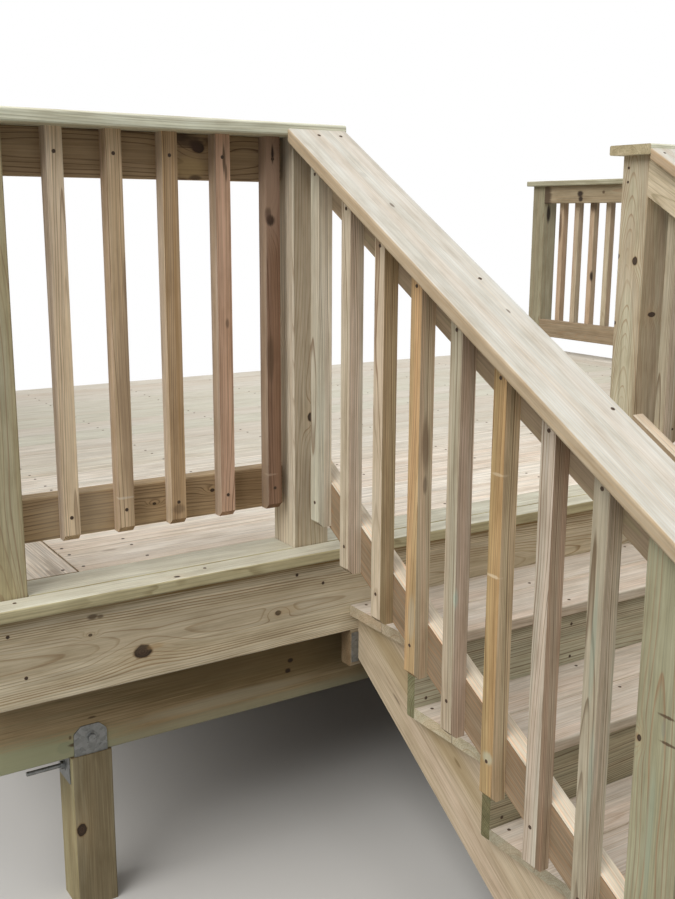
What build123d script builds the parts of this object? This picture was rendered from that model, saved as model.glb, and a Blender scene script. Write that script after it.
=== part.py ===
from build123d import *
import os
from math import floor, sqrt

os.makedirs("parts", exist_ok=True)

# Lumber sizes, planed, in millimetres.
post_size = 88.9
two_by = 38.1
four_width = 88.9
eight_width = 184.2
board_thickness = 25.4
board_width = 139.7
baluster_size = 32.0

# Eased edges: small on framing, rounded on deck boards and caps.
framing_ease = 2.5
board_radius = 4.0
cap_radius = 5.0

# Platform.
deck_width = 3746.5
joist_length = 2438.4
joist_spacing = 406.4
nosing_overhang = 23.0
board_gap = 2.0
border_board_count = 2

# Stair.
first_drop = 146.0
rise = 151.0
run = 252.0
riser_count = 5
tread_length = 898.0
tread_depth = 268.0
tread_gap = 1.5
tread_overhang = 24.0
stringer_back_depth = 109.0
stringer_underside_fall = 0.67
hanger_inset = 3.0

# Places of the railing posts along the front edge, as clear openings.
left_bay_clear = 592.0
stair_opening = 968.0

# Railing.
cap_top_height = 902.0
rail_gap_below = 89.0
cap_overhang = 25.4
baluster_bevel = 12.0
left_bay_baluster_count = 5
left_bay_baluster_pitch = 114.0
left_bay_last_gap = 20.0
right_bay_baluster_count = 15
side_bay_baluster_count = 20

# Stair railing, measured down from the flat cap and out from the front posts. It falls a little
# less steeply than the flight.
stair_rail_fall = 0.5785
stair_cap_drop = 11.7
stair_rail_gap_below = 95.5
stair_rail_clear = 988.0
stair_baluster_count = 8
stair_baluster_pitch = 117.5
stair_first_gap = 41.5
stair_foot_drop = 2.0
stair_foot_drift = 4.5

# Beams and the short posts under them.
beam_setback = 61.0
ply_gap = 0.3
beam_post_inset = 256.0
bracket_plate = 3.0
bracket_width = 72.0
bracket_height = 66.0
bracket_shoulder = 16.0
bracket_round = 9.0

post_clearance = 1.5

# Levels worked out from the sizes above.
deck_top = first_drop + (riser_count - 1) * rise
joist_top = deck_top - board_thickness
rim_bottom = joist_top - eight_width
beam_bottom = rim_bottom - eight_width
cap_top = deck_top + cap_top_height
cap_underside = cap_top - board_thickness
top_rail_bottom = cap_underside - four_width
bottom_rail_bottom = deck_top + rail_gap_below

# Places along the width. The middle of the platform is x = 0.
rim_outer = deck_width / 2
rim_inner = rim_outer - two_by
left_post_x = -rim_inner
stair_left_x = left_post_x + post_size + left_bay_clear
stair_right_x = stair_left_x + post_size + stair_opening
right_post_x = rim_inner - post_size
stair_mid_x = stair_left_x + post_size + stair_opening / 2
deck_outer = rim_outer + nosing_overhang
border_width = border_board_count * board_width + (border_board_count - 1) * board_gap
field_end = deck_outer - border_width - board_gap

# Places along the depth. front_y is the plane of the front posts' outer faces.
foot_post_back = -stair_rail_clear
foot_post_front = foot_post_back - post_size
stair_reach = -foot_post_front + cap_overhang
deck_reach = joist_length + two_by
front_y = (stair_reach - deck_reach) / 2
rim_face_y = front_y - two_by
back_y = front_y + joist_length
back_face_y = back_y + two_by
end_post_y = back_y - post_size
nose_y = rim_face_y - nosing_overhang
rail_y = front_y + post_size - two_by
baluster_y = rail_y - baluster_size

# A sloped piece measures more when taken straight up than square across its grain.
slope_stretch = sqrt(1 + stair_rail_fall * stair_rail_fall)
cap_front_y = front_y - cap_overhang


def sloped(height_at_posts, y):
    """Height of a line parallel to the stair railing that has this height at the front posts."""
    return height_at_posts + stair_rail_fall * (y - front_y)


stair_cap_top = cap_top - stair_cap_drop + stair_rail_fall * cap_overhang
stair_cap_underside = stair_cap_top - board_thickness * slope_stretch
stair_top_rail_bottom = stair_cap_underside - four_width * slope_stretch
stair_bottom_rail_bottom = deck_top + stair_rail_gap_below


def timber(grain, low, high, ease, rounded=False):
    """One straight piece of wood between two corners, with its four long edges eased."""
    spans = [high[i] - low[i] for i in range(3)]
    middle = [(high[i] + low[i]) / 2 for i in range(3)]
    if grain == "X":
        section = Plane(origin=(low[0], middle[1], middle[2]), x_dir=(0, 1, 0), z_dir=(1, 0, 0))
        across, thick, length = spans[1], spans[2], spans[0]
    elif grain == "Y":
        section = Plane(origin=(middle[0], low[1], middle[2]), x_dir=(1, 0, 0), z_dir=(0, 1, 0))
        across, thick, length = spans[0], spans[2], spans[1]
    else:
        section = Plane(origin=(middle[0], middle[1], low[2]), x_dir=(1, 0, 0), z_dir=(0, 0, 1))
        across, thick, length = spans[0], spans[1], spans[2]
    with BuildSketch(section) as outline:
        Rectangle(across, thick)
        if rounded:
            fillet(outline.vertices(), radius=ease)
        else:
            chamfer(outline.vertices(), length=ease)
    extrude(outline.sketch, amount=length)


def side_profile(points, x_low, x_high):
    """A piece whose outline is drawn from the side, as height over depth."""
    with BuildSketch(Plane.YZ.offset(x_low)) as profile:
        with BuildLine():
            Polyline(*points, close=True)
        make_face()
    extrude(profile.sketch, amount=x_high - x_low)


def save(builder, name):
    """Label a finished piece and write it out."""
    builder.part.label = name
    export_step(builder.part, f"parts/{name}.step")


# Rims: two by eights on edge round the platform. The side rims stop against the front and back ones.
with BuildPart() as front_rim:
    timber("X", (-rim_outer, rim_face_y, rim_bottom), (rim_outer, front_y, joist_top), framing_ease)
save(front_rim, "front_rim")

with BuildPart() as back_rim:
    timber("X", (-rim_outer, back_y, rim_bottom), (rim_outer, back_face_y, joist_top), framing_ease)
save(back_rim, "back_rim")

with BuildPart() as left_rim:
    timber("Y", (-rim_outer, front_y, rim_bottom), (-rim_inner, back_y, joist_top), framing_ease)
save(left_rim, "left_rim")

with BuildPart() as right_rim:
    timber("Y", (rim_inner, front_y, rim_bottom), (rim_outer, back_y, joist_top), framing_ease)
save(right_rim, "right_rim")

# Joists run from rim to rim. One stands against the left stair post, the rest step off from it.
anchor_joist_x = stair_left_x + post_size
joists_to_left = floor((anchor_joist_x - left_post_x - post_size) / joist_spacing)
joists_to_right = floor((right_post_x - two_by - anchor_joist_x) / joist_spacing)
with BuildPart() as joists:
    for number in range(-joists_to_left, joists_to_right + 1):
        joist_x = anchor_joist_x + number * joist_spacing
        timber("Y", (joist_x, front_y, rim_bottom), (joist_x + two_by, back_y, joist_top), framing_ease)
save(joists, "joists")

# Beams: two plies of two by eight under the joists, near the front and the back.
beam_depth = 2 * two_by + ply_gap
front_beam_y = front_y + beam_setback
back_beam_y = back_y - beam_setback - beam_depth


def beam_plies(beam_y):
    """The two plies of a beam, side by side."""
    for ply in range(2):
        ply_y = beam_y + ply * (two_by + ply_gap)
        timber("X", (-rim_outer, ply_y, beam_bottom), (rim_outer, ply_y + two_by, rim_bottom), framing_ease)


with BuildPart() as front_beam:
    beam_plies(front_beam_y)
save(front_beam, "front_beam")

with BuildPart() as back_beam:
    beam_plies(back_beam_y)
save(back_beam, "back_beam")

# Short posts carry each beam at its ends and its middle, with steel plates lapping both.
beam_post_reach = rim_outer - beam_post_inset
beam_post_places = [-beam_post_reach, 0, beam_post_reach]


def beam_posts(beam_y):
    """Three short posts centred under a beam."""
    post_y = beam_y + beam_depth / 2 - post_size / 2
    for place in beam_post_places:
        low = (place - post_size / 2, post_y, 0)
        high = (place + post_size / 2, post_y + post_size, beam_bottom)
        timber("Z", low, high, framing_ease)


with BuildPart() as front_beam_posts:
    beam_posts(front_beam_y)
save(front_beam_posts, "front_beam_posts")

with BuildPart() as back_beam_posts:
    beam_posts(back_beam_y)
save(back_beam_posts, "back_beam_posts")

# Deck boards. A ripped strip with a round nose covers the front rim, and short strips fill
# between the posts behind it.
strip_back = front_y + post_size + post_clearance
with BuildPart() as front_edge_boards:
    timber("X", (-deck_outer, nose_y, joist_top), (deck_outer, front_y - post_clearance, deck_top), board_radius, True)
    strip_ends = [-deck_outer]
    for post_x in (left_post_x, stair_left_x, stair_right_x, right_post_x):
        strip_ends += [post_x - post_clearance, post_x + post_size + post_clearance]
    strip_ends += [deck_outer]
    for start, end in zip(strip_ends[0::2], strip_ends[1::2]):
        timber("X", (start, front_y + post_clearance, joist_top), (end, strip_back, deck_top), board_radius, True)
save(front_edge_boards, "front_edge_boards")

# Whole boards, and a last one ripped to what is left. Where that would be a thin strip, the last
# two boards share it.
field_start = strip_back + board_gap
field_depth = back_face_y - field_start
whole_rows = floor((field_depth + board_gap) / (board_width + board_gap))
left_over = field_depth - whole_rows * (board_width + board_gap)
field_widths = [board_width] * (whole_rows - 1)
if left_over < board_width / 2:
    field_widths += [(board_width + left_over) / 2] * 2
else:
    field_widths += [board_width, left_over]
with BuildPart() as field_boards:
    row_y = field_start
    for row_width in field_widths:
        low = (-field_end, row_y, joist_top)
        timber("X", low, (field_end, row_y + row_width, deck_top), board_radius, True)
        row_y += row_width + board_gap
save(field_boards, "field_boards")


def border_boards(side):
    """The boards that run front to back along one side, notched round the end post."""
    for number in range(border_board_count):
        outer = deck_outer - number * (board_width + board_gap)
        inner = outer - board_width
        low_x, high_x = sorted((side * outer, side * inner))
        timber("Y", (low_x, field_start, joist_top), (high_x, back_face_y, deck_top), board_radius, True)
    notch = post_size + 2 * post_clearance
    post_middle = side * (rim_inner - post_size / 2)
    with BuildSketch(Plane.XY.offset(joist_top)) as post_hole:
        with Locations((post_middle, end_post_y + post_size / 2)):
            Rectangle(notch, notch)
    extrude(post_hole.sketch, amount=board_thickness, mode=Mode.SUBTRACT)


with BuildPart() as left_border_boards:
    border_boards(-1)
save(left_border_boards, "left_border_boards")

with BuildPart() as right_border_boards:
    border_boards(1)
save(right_border_boards, "right_border_boards")


# Railing posts on the platform: four by fours bolted inside the rims, up to the cap.
def railing_post(post_x, post_y):
    """One platform post."""
    low = (post_x, post_y, rim_bottom)
    high = (post_x + post_size, post_y + post_size, cap_underside)
    timber("Z", low, high, framing_ease)


with BuildPart() as left_corner_post:
    railing_post(left_post_x, front_y)
save(left_corner_post, "left_corner_post")

with BuildPart() as left_stair_post:
    railing_post(stair_left_x, front_y)
save(left_stair_post, "left_stair_post")

with BuildPart() as right_stair_post:
    railing_post(stair_right_x, front_y)
save(right_stair_post, "right_stair_post")

with BuildPart() as right_corner_post:
    railing_post(right_post_x, front_y)
save(right_corner_post, "right_corner_post")

with BuildPart() as left_end_post:
    railing_post(left_post_x, end_post_y)
save(left_end_post, "left_end_post")

with BuildPart() as right_end_post:
    railing_post(right_post_x, end_post_y)
save(right_end_post, "right_end_post")

# Foot posts of the stair railing stand on the ground, cut to the slope under the cap.
with BuildPart() as left_foot_post:
    foot_low_y = front_y + foot_post_front
    foot_high_y = front_y + foot_post_back
    foot_outline = [
        (foot_low_y, 0),
        (foot_high_y, 0),
        (foot_high_y, sloped(stair_cap_underside, foot_high_y)),
        (foot_low_y, sloped(stair_cap_underside, foot_low_y)),
    ]
    side_profile(foot_outline, stair_left_x, stair_left_x + post_size)
    chamfer(left_foot_post.edges().filter_by(Axis.Z), length=framing_ease)
save(left_foot_post, "left_foot_post")

stair_middle_plane = Plane.YZ.offset(stair_mid_x)
with BuildPart() as right_foot_post:
    mirror(left_foot_post.part, about=stair_middle_plane)
save(right_foot_post, "right_foot_post")

# Front railing: two by fours flush with the posts' inner faces, balusters screwed outside them.
left_bay_start = left_post_x + post_size
right_bay_start = stair_right_x + post_size


def front_rail(start, end, bottom):
    """A rail of the front railing between two posts."""
    timber("X", (start, rail_y, bottom), (end, rail_y + two_by, bottom + four_width), framing_ease)


with BuildPart() as front_left_top_rail:
    front_rail(left_bay_start, stair_left_x, top_rail_bottom)
save(front_left_top_rail, "front_left_top_rail")

with BuildPart() as front_left_bottom_rail:
    front_rail(left_bay_start, stair_left_x, bottom_rail_bottom)
save(front_left_bottom_rail, "front_left_bottom_rail")

with BuildPart() as front_right_top_rail:
    front_rail(right_bay_start, right_post_x, top_rail_bottom)
save(front_right_top_rail, "front_right_top_rail")

with BuildPart() as front_right_bottom_rail:
    front_rail(right_bay_start, right_post_x, bottom_rail_bottom)
save(front_right_bottom_rail, "front_right_bottom_rail")


def upright_baluster(middle_x):
    """One front baluster from the cap down to the bottom rail, its outer foot cut on the slant."""
    foot = bottom_rail_bottom
    outline = [
        (baluster_y, foot + baluster_bevel),
        (baluster_y + baluster_bevel, foot),
        (rail_y, foot),
        (rail_y, cap_underside),
        (baluster_y, cap_underside),
    ]
    side_profile(outline, middle_x - baluster_size / 2, middle_x + baluster_size / 2)


def even_places(start, end, count):
    """Middles of evenly spaced balusters in a bay."""
    clear_gap = (end - start - count * baluster_size) / (count + 1)
    return [start + clear_gap + baluster_size / 2 + i * (baluster_size + clear_gap) for i in range(count)]


with BuildPart() as front_left_balusters:
    last_middle = stair_left_x - left_bay_last_gap - baluster_size / 2
    for number in range(left_bay_baluster_count):
        upright_baluster(last_middle - number * left_bay_baluster_pitch)
save(front_left_balusters, "front_left_balusters")

with BuildPart() as front_right_balusters:
    for middle_x in even_places(right_bay_start, right_post_x, right_bay_baluster_count):
        upright_baluster(middle_x)
save(front_right_balusters, "front_right_balusters")

# Flat caps over posts and rails.
cap_back_y = cap_front_y + board_width
with BuildPart() as front_left_cap:
    cap_left = left_post_x - cap_overhang
    cap_right = stair_left_x + post_size + cap_overhang
    timber("X", (cap_left, cap_front_y, cap_underside), (cap_right, cap_back_y, cap_top), cap_radius, True)
save(front_left_cap, "front_left_cap")

with BuildPart() as front_right_cap:
    cap_left = stair_right_x - cap_overhang
    cap_right = right_post_x + post_size + cap_overhang
    timber("X", (cap_left, cap_front_y, cap_underside), (cap_right, cap_back_y, cap_top), cap_radius, True)
save(front_right_cap, "front_right_cap")

# Side railings run back from the corner posts. Their rails are flush with the posts' deck sides.
side_bay_start = front_y + post_size
side_rail_outer = rim_inner - post_size + two_by


def side_rail(side, bottom):
    """A rail along one side of the platform."""
    low_x, high_x = sorted((side * (rim_inner - post_size), side * side_rail_outer))
    timber("Y", (low_x, side_bay_start, bottom), (high_x, end_post_y, bottom + four_width), framing_ease)


def side_balusters(side):
    """The balusters along one side, outside the rails."""
    inner_x = side * side_rail_outer
    outer_x = side * (side_rail_outer + baluster_size)
    bevel_x = outer_x - side * baluster_bevel
    foot = bottom_rail_bottom
    outline = [(outer_x, foot + baluster_bevel), (bevel_x, foot), (inner_x, foot)]
    outline += [(inner_x, cap_underside), (outer_x, cap_underside)]
    for middle_y in even_places(side_bay_start, end_post_y, side_bay_baluster_count):
        with BuildSketch(Plane.XZ.offset(-(middle_y + baluster_size / 2))) as profile:
            with BuildLine():
                Polyline(*outline, close=True)
            make_face()
        extrude(profile.sketch, amount=baluster_size)


def side_cap(side):
    """The flat cap along one side, butted to the front cap."""
    cap_inner = rim_inner - post_size - cap_overhang
    low_x, high_x = sorted((side * cap_inner, side * (cap_inner + board_width)))
    cap_end_y = back_y + cap_overhang
    timber("Y", (low_x, cap_back_y, cap_underside), (high_x, cap_end_y, cap_top), cap_radius, True)


with BuildPart() as side_left_top_rail:
    side_rail(-1, top_rail_bottom)
save(side_left_top_rail, "side_left_top_rail")

with BuildPart() as side_left_bottom_rail:
    side_rail(-1, bottom_rail_bottom)
save(side_left_bottom_rail, "side_left_bottom_rail")

with BuildPart() as side_left_balusters:
    side_balusters(-1)
save(side_left_balusters, "side_left_balusters")

with BuildPart() as side_left_cap:
    side_cap(-1)
save(side_left_cap, "side_left_cap")

with BuildPart() as side_right_top_rail:
    side_rail(1, top_rail_bottom)
save(side_right_top_rail, "side_right_top_rail")

with BuildPart() as side_right_bottom_rail:
    side_rail(1, bottom_rail_bottom)
save(side_right_bottom_rail, "side_right_bottom_rail")

with BuildPart() as side_right_balusters:
    side_balusters(1)
save(side_right_balusters, "side_right_balusters")

with BuildPart() as side_right_cap:
    side_cap(1)
save(side_right_cap, "side_right_cap")

# Stair railing on the left. Its rails are flush with the stair side of the posts.
stair_rail_inner = stair_left_x + post_size
stair_rail_outer = stair_rail_inner - two_by
stair_baluster_outer = stair_rail_outer - baluster_size
rail_low_y = front_y + foot_post_back


def sloped_rail(bottom):
    """A two by four between the top and foot posts, plumb cut at both ends."""
    top = bottom + four_width * slope_stretch
    outline = [
        (rail_low_y, sloped(bottom, rail_low_y)),
        (front_y, sloped(bottom, front_y)),
        (front_y, sloped(top, front_y)),
        (rail_low_y, sloped(top, rail_low_y)),
    ]
    side_profile(outline, stair_rail_outer, stair_rail_inner)


with BuildPart() as stair_left_top_rail:
    sloped_rail(stair_top_rail_bottom)
save(stair_left_top_rail, "stair_left_top_rail")

with BuildPart() as stair_left_bottom_rail:
    sloped_rail(stair_bottom_rail_bottom)
save(stair_left_bottom_rail, "stair_left_bottom_rail")

with BuildPart() as stair_left_balusters:
    for number in range(stair_baluster_count):
        back = front_y - stair_first_gap - number * stair_baluster_pitch
        front = back - baluster_size
        foot_drop = stair_foot_drop + number * stair_foot_drift
        foot = sloped(stair_bottom_rail_bottom, (front + back) / 2) - foot_drop
        outline = [
            (front, foot),
            (back, foot),
            (back, sloped(stair_cap_underside, back)),
            (front, sloped(stair_cap_underside, front)),
        ]
        side_profile(outline, stair_baluster_outer, stair_rail_outer)
    feet = stair_left_balusters.faces().filter_by(Axis.Z)
    outer_foot_edges = feet.edges().filter_by(Axis.Y).group_by(Axis.X)[0]
    chamfer(outer_foot_edges, length=baluster_bevel)
save(stair_left_balusters, "stair_left_balusters")

with BuildPart() as stair_left_cap:
    cap_low_y = front_y - stair_reach
    outline = [
        (cap_low_y, sloped(stair_cap_underside, cap_low_y)),
        (cap_front_y, sloped(stair_cap_underside, cap_front_y)),
        (cap_front_y, sloped(stair_cap_top, cap_front_y)),
        (cap_low_y, sloped(stair_cap_top, cap_low_y)),
    ]
    cap_side_x = stair_left_x - cap_overhang
    side_profile(outline, cap_side_x, cap_side_x + board_width)
    long_edges = [edge for edge in stair_left_cap.edges() if edge.length > stair_reach - cap_overhang]
    fillet(long_edges, radius=cap_radius)
save(stair_left_cap, "stair_left_cap")

with BuildPart() as stair_right_top_rail:
    mirror(stair_left_top_rail.part, about=stair_middle_plane)
save(stair_right_top_rail, "stair_right_top_rail")

with BuildPart() as stair_right_bottom_rail:
    mirror(stair_left_bottom_rail.part, about=stair_middle_plane)
save(stair_right_bottom_rail, "stair_right_bottom_rail")

with BuildPart() as stair_right_balusters:
    mirror(stair_left_balusters.part, about=stair_middle_plane)
save(stair_right_balusters, "stair_right_balusters")

with BuildPart() as stair_right_cap:
    mirror(stair_left_cap.part, about=stair_middle_plane)
save(stair_right_cap, "stair_right_cap")


# Stringers: sawtooth planks with a level seat and a plumb face for each step.
def step_face_y(step):
    """Plane of the riser face above a tread. Step 1 lies against the front rim."""
    return rim_face_y - (step - 1) * run


def tread_top(step):
    """Level of a tread, counted down from the platform."""
    return deck_top - first_drop - (step - 1) * rise


tread_count = riser_count - 1
stringer_top = []
for step in range(1, tread_count + 1):
    seat = tread_top(step) - board_thickness
    seat_back = step_face_y(step) + (board_thickness if step > 1 else 0)
    seat_front = step_face_y(step + 1) + board_thickness
    stringer_top += [(seat_back, seat), (seat_front, seat)]
back_edge_z = stringer_top[0][1] - stringer_back_depth
toe_y = stringer_top[-1][0]
heel_y = rim_face_y - back_edge_z / stringer_underside_fall
stringer_outline = stringer_top + [(toe_y, 0), (heel_y, 0), (rim_face_y, back_edge_z)]


def stringer(middle_x):
    """One sawtooth stringer centred on an x place."""
    side_profile(stringer_outline, middle_x - two_by / 2, middle_x + two_by / 2)


outer_stringer_offset = tread_length / 2 - tread_overhang - two_by / 2
with BuildPart() as left_stringer:
    stringer(stair_mid_x - outer_stringer_offset)
save(left_stringer, "left_stringer")

with BuildPart() as middle_stringer:
    stringer(stair_mid_x)
save(middle_stringer, "middle_stringer")

with BuildPart() as right_stringer:
    stringer(stair_mid_x + outer_stringer_offset)
save(right_stringer, "right_stringer")

# Each tread is a ripped board against the riser and a whole one in front that reaches past the
# riser below as a nosing.
tread_left = stair_mid_x - tread_length / 2
tread_right = stair_mid_x + tread_length / 2


def tread_boards(step):
    """The two boards of one tread."""
    top = tread_top(step)
    nosing_y = step_face_y(step) - tread_depth
    seam_y = nosing_y + board_width
    for front, back in ((nosing_y, seam_y), (seam_y + tread_gap, step_face_y(step))):
        low = (tread_left, front, top - board_thickness)
        timber("X", low, (tread_right, back, top), board_radius, True)


with BuildPart() as tread_1:
    tread_boards(1)
save(tread_1, "tread_1")

with BuildPart() as tread_2:
    tread_boards(2)
save(tread_2, "tread_2")

with BuildPart() as tread_3:
    tread_boards(3)
save(tread_3, "tread_3")

with BuildPart() as tread_4:
    tread_boards(4)
save(tread_4, "tread_4")

# Riser boards as long as the treads close the steps below the platform.
with BuildPart() as risers:
    for step in range(2, riser_count + 1):
        face_y = step_face_y(step)
        riser_top = tread_top(step - 1) - board_thickness
        riser_bottom = max(riser_top - rise, 0)
        low = (tread_left, face_y, riser_bottom)
        timber("X", low, (tread_right, face_y + board_thickness, riser_top), framing_ease)
save(risers, "risers")

# A two by four under the front rim takes the stringers' upper ends.
with BuildPart() as hanger_board:
    low = (tread_left + hanger_inset, rim_face_y, rim_bottom - four_width)
    timber("X", low, (tread_right - hanger_inset, front_y, rim_bottom), framing_ease)
save(hanger_board, "hanger_board")

# Steel plates of the post caps lie on both faces of each beam, their upper corners cut and rounded.
half_plate = bracket_width / 2
half_top = half_plate - bracket_shoulder
shoulder_z = beam_bottom + bracket_height - bracket_shoulder
plate_top_z = beam_bottom + bracket_height
with BuildPart() as beam_brackets:
    for beam_y in (front_beam_y, back_beam_y):
        for place in beam_post_places:
            plate_outline = [
                (place - half_plate, beam_bottom),
                (place + half_plate, beam_bottom),
                (place + half_plate, shoulder_z),
                (place + half_top, plate_top_z),
                (place - half_top, plate_top_z),
                (place - half_plate, shoulder_z),
            ]
            for plate_y in (beam_y - bracket_plate, beam_y + beam_depth):
                with BuildSketch(Plane.XZ.offset(-(plate_y + bracket_plate))) as plate:
                    with BuildLine():
                        Polyline(*plate_outline, close=True)
                    make_face()
                    fillet(plate.vertices().filter_by(lambda corner: corner.Y > beam_bottom + 1), radius=bracket_round)
                extrude(plate.sketch, amount=bracket_plate)
save(beam_brackets, "beam_brackets")
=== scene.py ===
from math import atan, cos, pi, radians, sin

import bpy
from mathutils import Matrix, Vector


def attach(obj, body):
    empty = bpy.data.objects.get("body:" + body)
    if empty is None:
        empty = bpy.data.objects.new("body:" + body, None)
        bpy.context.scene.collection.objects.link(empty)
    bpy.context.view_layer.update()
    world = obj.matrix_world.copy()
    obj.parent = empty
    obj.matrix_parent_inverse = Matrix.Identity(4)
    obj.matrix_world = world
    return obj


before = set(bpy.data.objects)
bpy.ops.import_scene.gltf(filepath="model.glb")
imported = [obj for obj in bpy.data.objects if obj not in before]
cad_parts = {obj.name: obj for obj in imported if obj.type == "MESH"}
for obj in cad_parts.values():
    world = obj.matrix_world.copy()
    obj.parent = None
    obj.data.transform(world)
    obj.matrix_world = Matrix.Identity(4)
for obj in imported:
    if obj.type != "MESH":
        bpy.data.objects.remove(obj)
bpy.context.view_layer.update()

# Studio: a pale floor, an even white surround that shows white to the camera, a broad soft key from
# the upper left, and the camera where the photograph was taken from.
bpy.ops.object.select_all(action="DESELECT")
bpy.ops.mesh.primitive_plane_add(size=60, location=(0, 0, 0))
floor = bpy.context.object
floor.name = "floor"


def add_node(tree, kind, inputs=None, **settings):
    """A shader node with its settings, and its inputs given as values or as sockets to link."""
    node = tree.nodes.new(kind)
    for setting, value in settings.items():
        setattr(node, setting, value)
    for place, value in (inputs or {}).items():
        if isinstance(value, bpy.types.NodeSocket):
            tree.links.new(value, node.inputs[place])
        else:
            node.inputs[place].default_value = value
    return node


def calculate(tree, operation, first, second=0.0, third=0.0):
    """The result of one sum on numbers."""
    node = add_node(tree, "ShaderNodeMath", {0: first, 1: second, 2: third}, operation=operation)
    return node.outputs[0]


def combine(tree, operation, first, second=None):
    """The result of one sum on places or directions. A length comes out as a number."""
    inputs = {0: first} if second is None else {0: first, 1: second}
    node = add_node(tree, "ShaderNodeVectorMath", inputs, operation=operation)
    return node.outputs["Value" if operation == "LENGTH" else "Vector"]


def remap(tree, value, low, high, new_low=0.0, new_high=1.0):
    """A number moved smoothly from one range to another and held at the ends."""
    places = {"Value": value, "From Min": low, "From Max": high, "To Min": new_low, "To Max": new_high}
    node = add_node(tree, "ShaderNodeMapRange", places, interpolation_type="SMOOTHSTEP")
    return node.outputs["Result"]


def blend_colours(tree, amount, first, second, way="MIX"):
    """Two colours mixed by an amount."""
    inputs = {0: amount, 6: first, 7: second}
    return add_node(tree, "ShaderNodeMix", inputs, data_type="RGBA", blend_type=way).outputs[2]


def new_material(name, finish):
    """A material with its tree and its shader, which gets the values of the finish."""
    material = bpy.data.materials.new(name)
    material.use_nodes = True
    surface = material.node_tree.nodes["Principled BSDF"]
    for quality, value in finish.items():
        surface.inputs[quality].default_value = value
    return material, material.node_tree, surface


fade_start = 2.6
fade_end = 6.5
floor_material, floor_tree, floor_surface = new_material("pale_floor", {"Roughness": 0.9})
bounced = add_node(floor_tree, "ShaderNodeLightPath").outputs["Is Diffuse Ray"]
floor_tone = blend_colours(floor_tree, bounced, (0.52, 0.51, 0.49, 1), (0.24, 0.235, 0.225, 1))
floor_tree.links.new(floor_tone, floor_surface.inputs["Base Color"])
floor_place = add_node(floor_tree, "ShaderNodeNewGeometry").outputs["Position"]
far_away = remap(floor_tree, combine(floor_tree, "LENGTH", floor_place), fade_start, fade_end)
seen_by_camera = add_node(floor_tree, "ShaderNodeLightPath").outputs["Is Camera Ray"]
far_seen = calculate(floor_tree, "MULTIPLY", far_away, seen_by_camera)
white_glow = add_node(floor_tree, "ShaderNodeEmission", {0: (1, 1, 1, 1), 1: 1.0}).outputs[0]
faded = add_node(floor_tree, "ShaderNodeMixShader", {0: far_seen, 1: floor_surface.outputs[0], 2: white_glow})
floor_tree.links.new(faded.outputs[0], floor_tree.nodes["Material Output"].inputs["Surface"])
floor.data.materials.append(floor_material)

world = bpy.data.worlds.new("studio")
bpy.context.scene.world = world
world.use_nodes = True
sky = world.node_tree
light_path = add_node(sky, "ShaderNodeLightPath").outputs
seen_white = calculate(sky, "ADD", light_path["Is Camera Ray"], light_path["Is Glossy Ray"])
seen_white = calculate(sky, "ADD", seen_white, light_path["Is Transmission Ray"])
seen_white = calculate(sky, "MINIMUM", seen_white, 1.0)
look_way = add_node(sky, "ShaderNodeTexCoord").outputs["Generated"]
look_up = add_node(sky, "ShaderNodeSeparateXYZ", {0: look_way}).outputs["Z"]
overhead = remap(sky, look_up, 0.0, 1.0, 0.15, 1.15)
sky_strength = add_node(sky, "ShaderNodeMix", {0: seen_white, 2: overhead, 3: 1.0}).outputs[0]
sky.nodes["Background"].inputs["Color"].default_value = (1, 1, 1, 1)
sky.links.new(sky_strength, sky.nodes["Background"].inputs["Strength"])

key_data = bpy.data.lights.new("key", "SUN")
key_data.energy = 2.35
key_data.angle = radians(45)
key_data.color = (1.0, 0.985, 0.96)
key = bpy.data.objects.new("key", key_data)
bpy.context.collection.objects.link(key)
key.rotation_euler = (radians(46), 0, radians(-72))

film_height = 24
focal_pixels = 1070.5
photo_height = 899
camera_place = (-2.29471, -2.65565, 1.46905)
camera_yaw = 0.567
camera_pitch = 0.215
camera_roll = 0.005
camera_data = bpy.data.cameras.new("photo_view")
camera = bpy.data.objects.new("photo_view", camera_data)
bpy.context.collection.objects.link(camera)
camera_data.sensor_fit = "VERTICAL"
camera_data.sensor_height = film_height
camera_data.lens = film_height * focal_pixels / photo_height
turn = Matrix.Rotation(-camera_yaw, 4, "Z") @ Matrix.Rotation(pi / 2 - camera_pitch, 4, "X")
camera.matrix_world = Matrix.Translation(camera_place) @ turn @ Matrix.Rotation(camera_roll, 4, "Z")
bpy.context.scene.camera = camera
bpy.context.scene.view_settings.view_transform = "Standard"

# Deck screws: coated steel, with a recess in a head that is driven nearly level with the wood, in a
# dark rim that is partly bruised fibres and partly painted shadow of the countersink. One is modelled
# here, and copied to every place where a piece is fixed.
screw_metal = new_material("screw_metal", {
    "Base Color": (0.07, 0.047, 0.033, 1), "Specular IOR Level": 0.25, "Roughness": 0.6})[0]
# The rim's dark colour is partly crushed fibres and partly painted shadow in the countersink.
countersink_shade_rim = new_material("countersink_shade_rim", {"Base Color": (0.13, 0.08, 0.045, 1), "Roughness": 0.85})[0]
head_radius = 0.0031
head_thickness = 0.0016
head_sink = 0.0003
recess_margin = 0.0014
recess_depth = 0.0004
rim_radius = 0.0033
rim_thickness = 0.0006

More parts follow.
